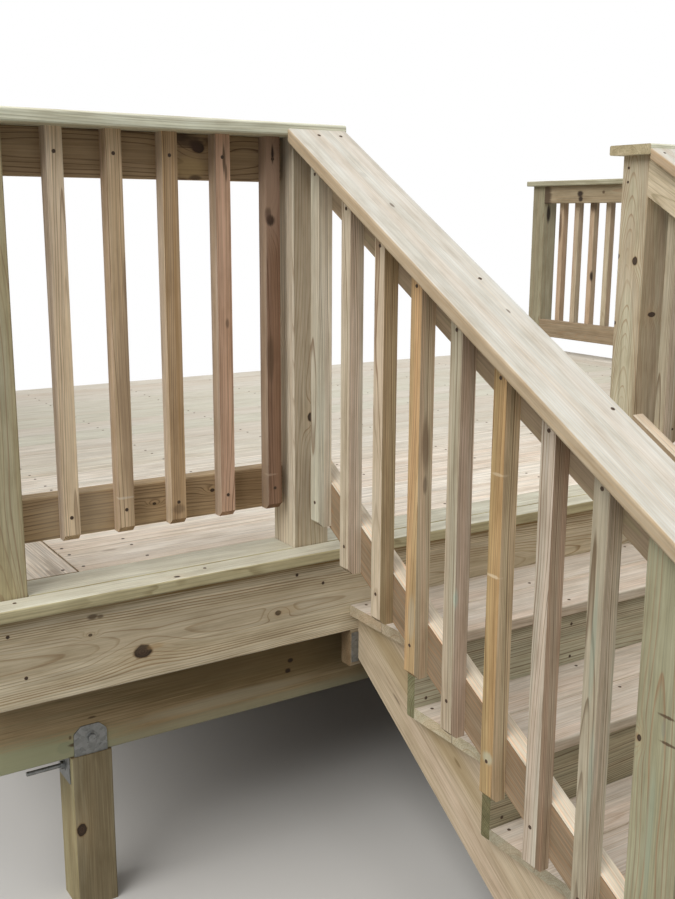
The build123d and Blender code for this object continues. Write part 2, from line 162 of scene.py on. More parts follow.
bpy.ops.object.select_all(action="DESELECT")
bpy.ops.mesh.primitive_cylinder_add(
    vertices=12, radius=head_radius, depth=head_thickness, location=(0, 0, -head_sink))
first_screw = bpy.context.object
first_screw.data.materials.append(screw_metal)
first_screw.data.materials.append(countersink_shade_rim)
bpy.ops.object.mode_set(mode="EDIT")
bpy.ops.mesh.select_mode(type="FACE")
bpy.ops.mesh.select_all(action="DESELECT")
bpy.ops.object.mode_set(mode="OBJECT")
for face in first_screw.data.polygons:
    face.select = face.normal.z > 0.9
bpy.ops.object.mode_set(mode="EDIT")
bpy.ops.mesh.inset(thickness=recess_margin)
bpy.ops.mesh.extrude_region_move(TRANSFORM_OT_translate={"value": (0, 0, -recess_depth)})
bpy.ops.mesh.select_all(action="DESELECT")
bpy.ops.mesh.primitive_torus_add(
    major_segments=14, minor_segments=5, major_radius=rim_radius, minor_radius=rim_thickness)
bpy.context.object.active_material_index = 1
bpy.ops.object.material_slot_assign()
bpy.ops.object.mode_set(mode="OBJECT")
bpy.ops.object.transform_apply(location=True, rotation=True, scale=True)


def settle(name):
    """Name the active piece, put its origin at the middle of the scene and tie it to the frame."""
    piece = bpy.context.object
    piece.name = name
    bpy.ops.object.transform_apply(location=True, rotation=True, scale=True)
    bpy.context.scene.cursor.location = (0, 0, 0)
    bpy.ops.object.origin_set(type="ORIGIN_CURSOR")
    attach(piece, "root")


def drive_screws(name, places, facing):
    """Copies of the screw at the places given, their heads looking along the facing direction."""
    aim = Vector(facing).normalized().to_track_quat("Z", "Y").to_matrix().to_4x4()
    bpy.ops.object.select_all(action="DESELECT")
    for number, place in enumerate(places):
        copy = first_screw.copy()
        copy.data = first_screw.data.copy()
        copy.matrix_world = Matrix.Translation(place) @ aim @ Matrix.Rotation(number * 0.7, 4, "Z")
        bpy.context.collection.objects.link(copy)
        copy.select_set(True)
        bpy.context.view_layer.objects.active = copy
    bpy.ops.object.join()
    settle(name)


# Platform frame: rims, joists and a hanger board of pressure-treated pine, set on edge and nailed at
# their ends. The front rim carries a big knot, a swirl near the stair and long wavy grain, and a
# brown-tinted painted shadow along its top under the overhanging edge strip.
front_y = -0.6871
rim_face_y = front_y - 0.0381
back_face_y = 1.7894
post = 0.0889
stair_left_x = -1.15425
joist_pitch = 0.4064
straw = (0.62, 0.54, 0.39)
grey_green = (0.50, 0.475, 0.34)
honey = (0.60, 0.46, 0.28)
brown_line = (0.30, 0.195, 0.11)
dark_stain = (0.09, 0.055, 0.03)
mixed_tints = ((0.93, 1.0, 0.90), (1.0, 1.0, 1.0), (1.04, 0.93, 0.84))

# The grain of every piece is worked out through its thickness. Growth rings lie round a heart line
# along the grain, so faces show arches or straight lines and cut ends show arcs.
pine = bpy.data.node_groups.new("pine", "ShaderNodeTree")
for quality in ("Place", "Pith"):
    pine.interface.new_socket(quality, in_out="INPUT", socket_type="NodeSocketVector")
for quality in ("Ring Width", "Wander", "Taper", "Knot Share", "Knot Distance", "Knot Reach", "Flatness"):
    pine.interface.new_socket(quality, in_out="INPUT", socket_type="NodeSocketFloat")
for quality in ("Late", "Knot", "Knot Rings", "Halo", "Fibre", "Band", "Stain", "Blotch"):
    pine.interface.new_socket(quality, in_out="OUTPUT", socket_type="NodeSocketFloat")
given = add_node(pine, "NodeGroupInput").outputs
result = add_node(pine, "NodeGroupOutput").inputs


def stretched(scales):
    """The place in the timber, scaled apart along its width, thickness and grain."""
    return combine(pine, "MULTIPLY", given["Place"], scales)


def clouds(scales, detail=2.0, roughness=0.5):
    """Soft noise from -0.5 to 0.5 over the stretched place."""
    places = {"Vector": stretched(scales), "Scale": 1.0, "Detail": detail, "Roughness": roughness}
    return calculate(pine, "SUBTRACT", add_node(pine, "ShaderNodeTexNoise", places).outputs[0], 0.5)


def branch_distance(from_place, along_grain):
    """Distance from a knot's middle as seen on the wide face, whatever the depth."""
    return combine(pine, "LENGTH", combine(pine, "MULTIPLY", from_place, (1, 0.12, along_grain)))


# Scattered knots sit in cells of the timber, most of which have none. Those listed for a piece join them.
cell_place = stretched((7, 2.5, 2.1))
cells = add_node(pine, "ShaderNodeTexVoronoi", {"Vector": cell_place, "Scale": 1.0}).outputs
from_cell = combine(pine, "SUBTRACT", cells["Position"], cell_place)
from_cell = combine(pine, "MULTIPLY", from_cell, (1 / 7, 1 / 2.5, 1 / 2.1))
chance = add_node(pine, "ShaderNodeSeparateColor", {0: cells["Color"]}).outputs[0]
chance_left = calculate(pine, "ADD", chance, given["Knot Share"])
branch_radius = remap(pine, chance_left, 1.0, 1.6, 0.0001, 0.013)
scattered = calculate(pine, "DIVIDE", branch_distance(from_cell, 0.75), branch_radius)
scattered_reach = calculate(pine, "DIVIDE", branch_distance(from_cell, 0.4), branch_radius)
uneven_edge = calculate(pine, "MULTIPLY_ADD", clouds((110, 110, 80), 3.0), 0.45, 1.0)
knot_distance = calculate(pine, "MINIMUM", scattered, given["Knot Distance"])
knot_distance = calculate(pine, "MULTIPLY", knot_distance, uneven_edge)
knot_reach = calculate(pine, "MINIMUM", scattered_reach, given["Knot Reach"])
halo = calculate(pine, "MULTIPLY", calculate(pine, "POWER", knot_reach, 2.0), -0.2)
halo = calculate(pine, "POWER", 2.718, halo)

# Rings are counted from the heart line, pushed aside by knots and uneven from year to year.
from_pith = combine(pine, "MULTIPLY", combine(pine, "SUBTRACT", given["Place"], given["Pith"]), (1, 1, 0))
wander = calculate(pine, "MULTIPLY", clouds((5, 5, 1.3), 1.5), given["Wander"])
ripple = calculate(pine, "MULTIPLY", clouds((55, 55, 7), 1.0), 0.0022)
rings_out = calculate(pine, "ADD", combine(pine, "LENGTH", from_pith), calculate(pine, "ADD", wander, ripple))
up_the_tree = add_node(pine, "ShaderNodeSeparateXYZ", {0: given["Place"]}).outputs["Z"]
rings_out = calculate(pine, "MULTIPLY_ADD", up_the_tree, given["Taper"], rings_out)
rings_out = calculate(pine, "MULTIPLY_ADD", halo, 0.012, rings_out)
ring_count = calculate(pine, "DIVIDE", rings_out, given["Ring Width"])
slow_years, decades = [
    add_node(pine, "ShaderNodeTexNoise", {"W": ring_count, "Scale": scale, "Detail": 1.0},
             noise_dimensions="1D").outputs[0] for scale in (0.33, 0.13)]
pine.links.new(remap(pine, decades, 0.42, 0.64), result["Band"])
year = calculate(pine, "FRACT", calculate(pine, "MULTIPLY_ADD", slow_years, 1.6, ring_count))
line_start = remap(pine, given["Flatness"], 0.65, 1.0, 0.42, 0.72)
late_wood = calculate(pine, "MULTIPLY", remap(pine, year, line_start, 0.93), remap(pine, year, 1.0, 0.95))
late_wood = calculate(pine, "MULTIPLY", late_wood, remap(pine, given["Flatness"], 0.7, 1.0, 1.0, 0.88))
late_wood = calculate(pine, "MULTIPLY", late_wood, remap(pine, slow_years, 0.36, 0.6, 0.35, 1.0))
pine.links.new(late_wood, result["Late"])
pine.links.new(remap(pine, knot_distance, 1.25, 0.92), result["Knot"])
pine.links.new(calculate(pine, "MINIMUM", knot_distance, 1.2), result["Knot Rings"])
pine.links.new(halo, result["Halo"])
for quality, scales, detail, roughness in (
    ("Fibre", (330, 330, 4.5), 2.0, 0.6), ("Stain", (7, 7, 1.2), 1.0, 0.5), ("Blotch", (38, 38, 9), 4.0, 0.6),
):
    pine.links.new(calculate(pine, "ADD", clouds(scales, detail, roughness), 0.5), result[quality])


def colour_ramp(tree, value, stops, way="LINEAR"):
    """A colour ramp over stops, each a place and a colour."""
    node = add_node(tree, "ShaderNodeValToRGB", {0: value})
    ramp = node.color_ramp
    ramp.interpolation = way
    for number, (place, colour) in enumerate(stops):
        stop = ramp.elements[number] if number < 2 else ramp.elements.new(place)
        stop.position = place
        stop.color = (*colour, 1)
    return node.outputs[0]


def nearer(tree, first, second):
    """The smaller of two distances, the first of which may be missing."""
    return second if first is None else calculate(tree, "MINIMUM", first, second)


def timber(name, lie, early, late, pith=(0, 0, 0), ring=0.0044, wander=0.03, taper=0.012, grit=1.0,
           row=None, tints=mixed_tints, own_tints=None, edge_tints=None, end_tone=(0.74, 0.66, 0.56),
           knot_share=0.25, knots=(), lean=0.0, band=grey_green, band_share=0.5, contrast=0.75,
           sheen=0.3, marks=()):
    """A wood material. Lie names the axes of length, width and thickness. Early and late are the
    tones of the wood between the lines and of the lines. Pith is a point on the tree's heart line,
    which taper tilts. Row gives the axis, start and pitch of boards in a row, each with its own
    grain. Own_tints colour them one by one, edge_tints their narrow sides and end_tone their cut
    ends. Knots are (x, y, z, radius), and marks are (x, y, z, length, width, strength, colour).
    Lean tilts the grain."""
    material, tree, surface = new_material(name, {"Specular IOR Level": sheen})
    object_place = add_node(tree, "ShaderNodeTexCoord").outputs["Object"]
    place, face_way = object_place, add_node(tree, "ShaderNodeNewGeometry").outputs["Normal"]
    if lean:
        place, face_way = [
            add_node(tree, "ShaderNodeVectorRotate", {"Vector": way, "Angle": -lean},
                     rotation_type="X_AXIS").outputs[0] for way in (place, face_way)]
    upright = Matrix.Rotation(-lean, 3, "X")
    length_axis, width_axis, thickness_axis = ["XYZ".index(letter) for letter in lie]
    order = (width_axis, thickness_axis, length_axis)

    def in_grain(spot):
        """A place on the object, turned into the timber's width, thickness and length."""
        turned = upright @ Vector(spot)
        return tuple(turned[axis] for axis in order)

    # Each board of a row, and each single piece, has its own luck, which moves it in the noise.
    if row:
        row_axis, row_start, row_pitch = row
        along_row = add_node(tree, "ShaderNodeSeparateXYZ", {0: object_place}).outputs[row_axis]
        along_row = calculate(tree, "SUBTRACT", along_row, row_start)
        number = calculate(tree, "FLOOR", calculate(tree, "DIVIDE", along_row, row_pitch))
    else:
        number = calculate(tree, "ADD", 0.0, float(len(bpy.data.materials)))
    luck = add_node(tree, "ShaderNodeTexWhiteNoise", {"W": number}, noise_dimensions="1D").outputs["Color"]
    luck_parts = add_node(tree, "ShaderNodeSeparateColor", {0: luck}).outputs
    offset = combine(tree, "MULTIPLY", luck, (9.0, 7.0, 13.0))
    parts = add_node(tree, "ShaderNodeSeparateXYZ", {0: place}).outputs
    own_parts = {i: parts[axis] for i, axis in enumerate(order)}
    local = add_node(tree, "ShaderNodeCombineXYZ", own_parts).outputs[0]
    shifted = combine(tree, "ADD", local, offset)

    # The heart line lies behind the face, and in a row it lies behind each board by its luck.
    heart = upright @ Vector(pith)
    pith_parts = {0: heart[width_axis], 1: heart[thickness_axis]}
    if row:
        middle = calculate(tree, "MULTIPLY_ADD", calculate(tree, "ADD", number, 0.5), row_pitch, row_start)
        side_step = calculate(tree, "MULTIPLY_ADD", luck_parts[0], 0.12, -0.06)
        depth = calculate(tree, "MULTIPLY_ADD", luck_parts[1], 0.09, 0.03)
        pith_parts[0 if width_axis == row_axis else 1] = middle
        pith_parts[0] = calculate(tree, "ADD", pith_parts[0], side_step)
        pith_parts[1] = calculate(tree, "SUBTRACT", pith_parts[1], depth)
    centre = add_node(tree, "ShaderNodeCombineXYZ", pith_parts).outputs[0]
    centre = combine(tree, "ADD", centre, offset)

    nearest = furthest_reach = None
    for knot in knots:
        apart = combine(tree, "SUBTRACT", local, in_grain(knot[:3]))
        across, along = [
            combine(tree, "LENGTH", combine(tree, "MULTIPLY", apart, squeeze))
            for squeeze in ((1, 0.35, 0.75), (0.9, 0.3, 0.4))]
        across, along = [calculate(tree, "DIVIDE", distance, knot[3]) for distance in (across, along)]
        nearest = nearer(tree, nearest, across)
        furthest_reach = nearer(tree, furthest_reach, along)

    # Flatness is 1 where a face lies along the rings and 0 where it cuts straight across them.
    face_parts = add_node(tree, "ShaderNodeSeparateXYZ", {0: face_way}).outputs
    from_heart = combine(tree, "MULTIPLY", combine(tree, "SUBTRACT", shifted, centre), (1, 1, 0))
    from_heart = combine(tree, "NORMALIZE", from_heart)
    heart_parts = add_node(tree, "ShaderNodeSeparateXYZ", {0: from_heart}).outputs
    flatness = calculate(tree, "MULTIPLY", heart_parts[1], face_parts[thickness_axis])
    flatness = calculate(tree, "MULTIPLY_ADD", heart_parts[0], face_parts[width_axis], flatness)
    flatness = calculate(tree, "ABSOLUTE", flatness)
    made = add_node(tree, "ShaderNodeGroup", {
        "Place": shifted, "Pith": centre, "Ring Width": ring, "Wander": wander, "Taper": taper,
        "Knot Share": knot_share, "Flatness": flatness,
        "Knot Distance": nearest if knots else 99.0, "Knot Reach": furthest_reach if knots else 99.0,
    }, node_tree=pine).outputs

    # Colour: bands of darker years, lines of late wood, fibres, blotches, and the knots.
    band_amount = remap(tree, made["Stain"], 0.3, 0.6, band_share * 0.3, band_share)
    band_amount = calculate(tree, "MULTIPLY", made["Band"], band_amount)
    colour = blend_colours(tree, band_amount, (*early, 1), (*band, 1))
    dark_lines = calculate(tree, "MULTIPLY", made["Late"], contrast)
    dark_lines = calculate(tree, "MULTIPLY", dark_lines, remap(tree, made["Stain"], 0.25, 0.75, 1.15, 0.8))
    colour = blend_colours(tree, dark_lines, colour, (*late, 1))
    flecks = remap(tree, made["Fibre"], 0.25, 0.75, 1 - 0.20 * grit, 1 + 0.12 * grit)
    colour = blend_colours(tree, 1.0, colour, flecks, "MULTIPLY")
    blotches = colour_ramp(tree, made["Blotch"], (
        (0.3, (0.80, 0.77, 0.73)), (0.5, (0.96, 0.95, 0.94)), (0.68, (1.05, 1.06, 1.08))))
    colour = blend_colours(tree, 1.0, colour, blotches, "MULTIPLY")
    halo_amount = calculate(tree, "MULTIPLY", made["Halo"], 0.22)
    colour = blend_colours(tree, halo_amount, colour, (0.44, 0.30, 0.15, 1))
    knot_colours = colour_ramp(tree, made["Knot Rings"], (
        (0.0, (0.07, 0.038, 0.023)), (0.20, (0.025, 0.013, 0.009)), (0.36, (0.06, 0.033, 0.02)),
        (0.52, (0.028, 0.015, 0.010)), (0.66, (0.044, 0.025, 0.014)), (0.80, (0.012, 0.007, 0.005)),
        (0.92, (0.05, 0.029, 0.016)), (1.0, (0.22, 0.14, 0.07))))
    colour = blend_colours(tree, calculate(tree, "MULTIPLY", made["Knot"], 0.96), colour, knot_colours)

    # Tints of single boards, of their narrow sides and of their cut ends, and the marks on top.
    on_edge = remap(tree, calculate(tree, "ABSOLUTE", face_parts[width_axis]), 0.4, 0.75)
    chosen = []
    for given_tints in (own_tints, edge_tints):
        if given_tints and len(given_tints) > 1:
            spread = calculate(tree, "ADD", number, 0.5)
            spread = calculate(tree, "DIVIDE", spread, float(len(given_tints)))
            stops = [(i / len(given_tints), tint) for i, tint in enumerate(given_tints)]
            chosen.append(colour_ramp(tree, spread, stops, "CONSTANT"))
        elif given_tints:
            chosen.append((*given_tints[0], 1))
        elif row and not own_tints:
            stops = [(i / (len(tints) - 1), tint) for i, tint in enumerate(tints)]
            chosen.append(colour_ramp(tree, luck_parts[2], stops))
        else:
            chosen.append(chosen[0] if chosen else (1, 1, 1, 1))
    tint = blend_colours(tree, on_edge, chosen[0], chosen[1])
    colour = blend_colours(tree, 1.0, colour, tint, "MULTIPLY")
    cut_end = remap(tree, calculate(tree, "ABSOLUTE", face_parts[length_axis]), 0.45, 0.8)
    end_colour = blend_colours(tree, 1.0, colour, (*end_tone, 1), "MULTIPLY")
    colour = blend_colours(tree, cut_end, colour, end_colour)
    for mark_x, mark_y, mark_z, mark_length, mark_width, strength, mark_colour in marks:
        apart = combine(tree, "SUBTRACT", local, in_grain((mark_x, mark_y, mark_z)))
        apart = combine(tree, "MULTIPLY", apart, (1 / mark_width, 1 / mark_width, 1 / mark_length))
        apart = combine(tree, "LENGTH", apart)
        apart = calculate(tree, "ADD", apart, calculate(tree, "MULTIPLY_ADD", made["Fibre"], 0.8, -0.4))
        share = remap(tree, apart, 1.15, 0.5, 0.0, strength)
        colour = blend_colours(tree, share, colour, (*mark_colour, 1))
    tree.links.new(colour, surface.inputs["Base Color"])
    tree.links.new(remap(tree, made["Fibre"], 0.2, 0.8, 0.78, 0.64), surface.inputs["Roughness"])
    fine = tuple((4.5 if axis == length_axis else 330.0) for axis in range(3))
    fine_place = combine(tree, "MULTIPLY", place, fine)
    fine_noise = {"Vector": fine_place, "Scale": 1.0, "Detail": 1.0}
    relief = add_node(tree, "ShaderNodeTexNoise", fine_noise).outputs[0]
    bump = add_node(tree, "ShaderNodeBump", {"Strength": 0.4, "Distance": 0.0006, "Height": relief})
    tree.links.new(bump.outputs[0], surface.inputs["Normal"])
    return material


def finish_with(node_name, material):
    """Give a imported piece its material."""
    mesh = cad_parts[node_name].data
    mesh.materials.clear()
    mesh.materials.append(material)


def on_face(letter, face, spots):
    """Knots, marks or screws on one face, whose own place is put in among the numbers of each."""
    axis = "XYZ".index(letter)
    return tuple(spot[:axis] + (face,) + spot[axis:] for spot in spots)


finish_with("front_rim", timber(
    "front_rim_pine", "XZY", (0.67, 0.59, 0.43), (0.32, 0.215, 0.105),
    pith=(0, rim_face_y + 0.055, 0.625), ring=0.0042, wander=0.045, taper=0.02, knot_share=0.1,
    band=(0.54, 0.45, 0.29), contrast=1.0,
    knots=on_face("Y", rim_face_y, (
        (-1.532, 0.6016, 0.0145), (-1.217, 0.621, 0.0055), (-1.64, 0.66, 0.003), (0.62, 0.69, 0.014),
        (1.31, 0.60, 0.010))),
    marks=on_face("Y", rim_face_y, (
        # The long mark at z 0.731 is a painted shadow, tinted brown, under the overhanging edge strip.
        (0, 0.645, 6.0, 0.045, 0.24, (0.30, 0.22, 0.13)), (0, 0.731, 6.0, 0.024, 0.9, (0.245, 0.15, 0.04)),
        (-1.505, 0.6075, 0.022, 0.007, 0.45, (0.42, 0.27, 0.12)),
        (-1.188, 0.624, 0.030, 0.010, 0.3, (0.42, 0.28, 0.13)),
        (-1.634, 0.6966, 0.012, 0.006, 0.8, dark_stain), (-1.618, 0.6945, 0.008, 0.004, 0.7, dark_stain)))))
for rim_name, lie, heart in (
    ("back_rim", "XZY", (0, back_face_y - 0.07, 0.66)),
    ("left_rim", "YZX", (-1.80, 0, 0.61)),
    ("right_rim", "YZX", (1.80, 0, 0.66)),
):
    finish_with(rim_name, timber(rim_name + "_pine", lie, straw, brown_line, pith=heart))
finish_with("joists", timber(
    "joist_pine", "YZX", honey, brown_line, pith=(0, 0, 0.62),
    row=(0, stair_left_x + post - 0.18, joist_pitch)))
finish_with("hanger_board", timber(
    "hanger_pine", "XZY", (0.32, 0.255, 0.17), brown_line, pith=(0, -0.62, 0.45)))

# Beams and their short posts: two planks side by side on four by fours, all of pressure-treated pine.
# The front beam and its posts are darker as painted shade under the deck, with a painted shadow along
# the top of the beam under the rim, and the beam is greenish along its lower edge.
front_beam_y = front_y + 0.061
back_beam_y = 1.6138
plank_pitch = 0.0384
beam_post_spacing = 1.61725
beam_post_row = (0, -2.4259, beam_post_spacing)
olive_line = (0.30, 0.255, 0.145)
knot_black = (0.03, 0.018, 0.012)
# The front beam's dark early tone is painted shade under the rim.
finish_with("front_beam", timber(
    "front_beam_pine", "XZY", (0.36, 0.27, 0.15), olive_line, pith=(0, front_beam_y + 0.1, 0.42),
    row=(1, front_beam_y - 0.0002, plank_pitch), band=(0.29, 0.26, 0.15), band_share=0.7, contrast=0.45,
    knots=on_face("Y", front_beam_y, (
        (-1.13, 0.454, 0.0055), (-1.137, 0.430, 0.005), (-1.6720, 0.3825, 0.013))),
    marks=on_face("Y", front_beam_y, (
        # A painted shadow along the top of the beam, under the rim.
        (-1.17, 0.474, 0.5, 0.082, 0.7, (0.135, 0.09, 0.032)),
        (-1.30, 0.400, 0.24, 0.016, 0.5, (0.42, 0.38, 0.27)),
        (-1.80, 0.372, 0.30, 0.050, 0.85, (0.35, 0.365, 0.225)),
        (-1.25, 0.362, 0.50, 0.022, 0.6, (0.33, 0.32, 0.215)),
        (-1.6112, 0.4365, 0.010, 0.003, 0.8, dark_stain), (-1.660, 0.402, 0.004, 0.005, 0.8, dark_stain),
        (-1.650, 0.3845, 0.016, 0.005, 0.9, dark_stain), (-1.13, 0.454, 0.008, 0.006, 0.9, knot_black),
        (-1.137, 0.430, 0.009, 0.006, 0.9, knot_black)))))
finish_with("back_beam", timber(
    "back_beam_pine", "XZY", (0.42, 0.33, 0.19), brown_line, pith=(0, 0, 0.42),
    row=(1, back_beam_y - 0.0002, plank_pitch)))
# The front posts' dark tone is painted shade under the beam.
finish_with("front_beam_posts", timber(
    "front_beam_post_pine", "ZXY", (0.23, 0.185, 0.108), olive_line, pith=(0, -0.56, 0), row=beam_post_row,
    knots=((-1.647, -0.632, 0.188, 0.011),), contrast=0.5, edge_tints=((1.07, 1.06, 0.92),)))
finish_with("back_beam_posts", timber(
    "back_beam_post_pine", "ZXY", (0.40, 0.31, 0.18), brown_line, pith=(0, 1.72, 0), row=beam_post_row))

# Deck boards: pressure-treated pine one inch thick, with rounded edges, screwed down with narrow
# gaps. A greener strip runs along the front, pale pink and green boards behind it, and two boards
# front to back along each side. A broad painted shade darkens the rear of the deck, and the left
# border boards are made lighter as painted light against the railing's shadow.
deck_top = 0.750
deck_outer = 1.8963
board_width = 0.1397
board_gap = 0.002
board_pitch = board_width + board_gap
field_start = front_y + post + 0.0035
pale_green = (0.64, 0.62, 0.46)
pink_grey = (0.90, 0.845, 0.745)
rust_line = (0.36, 0.21, 0.11)
# Colour of a broad painted shade over the rear of the deck, standing for the shade of a house wall.
far_deck_shade = (0.37, 0.35, 0.30)
deck_look = {
    "pith": (0, 0, 0.74), "band": (0.80, 0.66, 0.53), "sheen": 0.05,
    "tints": ((0.95, 1.0, 0.93), (1.0, 0.97, 0.94), (1.04, 1.03, 1.02), (1.0, 0.94, 0.90)),
}
finish_with("front_edge_boards", timber(
    "edge_board_pine", "XYZ", pale_green, olive_line, pith=(0, 0, 0.74), contrast=0.5,
    knots=((-1.456, -0.733, 0.745, 0.005),), knot_share=0.1, own_tints=((1.02, 1.03, 1.14),),
    edge_tints=((0.77, 0.71, 0.58),)))
finish_with("field_boards", timber(
    "field_board_pine", "XYZ", (0.91, 0.86, 0.77), rust_line, row=(1, field_start, board_pitch),
    contrast=0.3, marks=on_face("Z", deck_top, (
        # The first mark is the broad painted shade over the rear of the deck, the second a small stain.
        (0.4, 1.45, 3.6, 2.1, 0.66, far_deck_shade), (-1.508, -0.492, 0.020, 0.008, 0.5, (0.30, 0.22, 0.15)))),
    **deck_look))
# The left border boards' lighter tone is painted light that offsets the railing's shadow on them.
finish_with("left_border_boards", timber(
    "left_border_pine", "YXZ", (0.95, 0.90, 0.81), rust_line, row=(0, -deck_outer, board_pitch),
    contrast=0.32, marks=on_face("Z", deck_top, (
        # The first mark is the broad painted shade over the rear of the deck, the second a small stain.
        (-1.8, 1.45, 2.1, 3.6, 0.62, far_deck_shade), (-1.6646, -0.5777, 0.026, 0.016, 0.4, (0.36, 0.27, 0.19)))),
    **deck_look))
finish_with("right_border_boards", timber(
    "right_border_pine", "YXZ", pink_grey, rust_line,
    row=(0, deck_outer - board_width - board_pitch, board_pitch), contrast=0.32,
    # The mark is the broad painted shade over the rear of the deck.
    marks=((1.8, 1.45, deck_top, 2.1, 3.6, 0.62, far_deck_shade),), **deck_look))

# Railing posts: pine four by fours with eased edges, screwed behind the rims or standing at the foot
# of the stairs. Each has its face tone, the side step of its heart line and its edge tint.
left_post_x = -1.83515
stair_right_x = -0.09735
right_post_x = 1.74625
end_post_y = 1.6624
foot_post_y = -1.764
even = (1.0, 1.0, 1.0)
post_looks = (
    ("left_corner_post", left_post_x, front_y, (0.45, 0.385, 0.225), 0.03, even),
    ("left_stair_post", stair_left_x, front_y, (0.56, 0.475, 0.345), 0.12, (1.25, 1.3, 1.4)),
    ("right_stair_post", stair_right_x, front_y, (0.475, 0.41, 0.295), -0.03, (1.02, 0.98, 0.94)),
    ("right_corner_post", right_post_x, front_y, straw, 0.09, even),
    ("left_end_post", left_post_x, end_post_y, straw, 0.06, even),
    # The right end post's darker face and edge tones are painted shade, as from a house wall beside it.
    ("right_end_post", right_post_x, end_post_y, (0.385, 0.365, 0.255), -0.05, (0.75, 0.725, 0.69)),
    ("left_foot_post", stair_left_x, foot_post_y, (0.335, 0.32, 0.205), 0.02, even),
    ("right_foot_post", stair_right_x, foot_post_y, (0.45, 0.41, 0.28), 0.08, even),
)
post_knots = {
    "left_stair_post": ((-1.111, front_y, 1.040, 0.0075), (-1.154, -0.615, 1.22, 0.005)),
    "right_stair_post": (
        (stair_right_x, -0.6594, 1.3566, 0.0085), (stair_right_x, -0.600, 1.367, 0.005),
        (stair_right_x, -0.602, 1.189, 0.004), (-0.051, front_y, 1.216, 0.005)),
    "left_foot_post": ((stair_left_x, -1.685, 0.73, 0.004),),
}
post_marks = {
    "right_end_post": (
        (1.777, end_post_y, 1.484, 0.055, 0.016, 1.0, (0.03, 0.02, 0.012)),
        (right_post_x, 1.70, 1.36, 0.16, 0.016, 0.3, (0.20, 0.15, 0.09))),
    "left_foot_post": on_face("X", stair_left_x, (
        (-1.731, 0.7815, 0.0028, 0.018, 0.9, dark_stain), (-1.737, 0.742, 0.0028, 0.018, 0.9, dark_stain),
        (-1.727, 0.762, 0.018, 0.005, 0.5, (0.22, 0.22, 0.17)),
        (-1.715, 0.60, 0.12, 0.008, 0.4, (0.30, 0.36, 0.27)))),
}
for post_name, corner_x, corner_y, face_tone, heart_step, edge_tone in post_looks:
    shows_side = post_name in ("right_stair_post", "left_foot_post")
    heart = (corner_x + heart_step, corner_y + 0.05 + heart_step, 0)
    if shows_side:
        heart = (corner_x - 0.035, corner_y + 0.045, 0)
    finish_with(post_name, timber(
        post_name + "_pine", "ZYX" if shows_side else "ZXY", face_tone, brown_line, pith=heart,
        wander=0.05, taper=0.09 if post_name == "right_stair_post" else 0.03, knot_share=0.2,
        band_share=0.7, contrast=0.95 if shows_side else 0.75, edge_tints=(edge_tone,),
        knots=post_knots.get(post_name, ()), marks=post_marks.get(post_name, ())))

# Front and side railings: pine balusters screwed to the face of two rails that run from post to
# post. The balusters were cut from different stock, and the fifth from the left is dark and reddish.
baluster_face_y = front_y + 0.0188
left_baluster_pitch = 0.114
rail_face_y = -0.6363
cream = (0.74, 0.68, 0.56)
tan = (0.57, 0.46, 0.32)
finish_with("front_left_balusters", timber(
    "front_left_baluster_pine", "ZXY", (0.585, 0.47, 0.325), (0.26, 0.17, 0.095), pith=(0, -0.64, 0),
    row=(0, -1.70325, left_baluster_pitch), ring=0.0034, contrast=0.95, band=honey, band_share=0.8,
    knot_share=0.0, own_tints=(
        (1.30, 1.34, 1.45), (1.08, 1.03, 0.98), (0.87, 0.77, 0.67), (1.06, 0.88, 0.90), (0.47, 0.355, 0.34)),
    edge_tints=(
        (1.25, 1.3, 1.5), (1.1, 1.07, 1.12), (1.22, 1.25, 1.38), (1.0, 0.98, 1.08), (0.70, 0.66, 0.72)),
    knots=on_face("Y", baluster_face_y, ((-1.1975, 1.459, 0.008), (-1.1907, 1.592, 0.004))),
    marks=on_face("Y", baluster_face_y, (
        (-1.536, 0.912, 0.003, 0.022, 0.5, cream), (-1.2035, 0.9177, 0.003, 0.022, 0.45, (0.5, 0.38, 0.28)),
        (-1.5255, 1.12, 0.28, 0.020, 0.45, (0.24, 0.165, 0.11)),
        (-1.515, 1.34, 0.06, 0.010, 0.5, (0.20, 0.13, 0.08)),
        (-1.412, 1.25, 0.45, 0.004, 0.45, (0.42, 0.25, 0.10)),
        (-1.302, 1.577, 0.030, 0.004, 0.85, dark_stain), (-1.297, 1.552, 0.018, 0.003, 0.7, dark_stain),
        (-1.325, 1.2915, 0.020, 0.004, 0.7, dark_stain), (-1.300, 1.251, 0.012, 0.005, 0.6, dark_stain),
        (-1.199, 1.17, 0.060, 0.010, 0.6, dark_stain), (-1.419, 0.872, 0.012, 0.016, 0.5, dark_stain),
        # A painted light at the top of the fifth baluster, lifting the shade under the cap.
        (-1.2035, 1.55, 0.17, 0.034, 0.6, (0.44, 0.31, 0.225)),
        (-1.1967, 1.459, 0.013, 0.011, 0.95, (0.05, 0.028, 0.018)),
        (-1.2025, 1.471, 0.017, 0.010, 0.7, (0.09, 0.05, 0.033)),
        (-1.1907, 1.592, 0.024, 0.0035, 0.95, (0.03, 0.016, 0.01))))))
finish_with("front_right_balusters", timber(
    "front_right_baluster_pine", "ZXY", tan, brown_line, pith=(0, -0.64, 0), row=(0, 0.0314, 0.1117)))
finish_with("side_left_balusters", timber(
    "side_left_baluster_pine", "ZYX", tan, brown_line, pith=(-1.8, 0, 0), row=(1, -0.5596, 0.1092)))
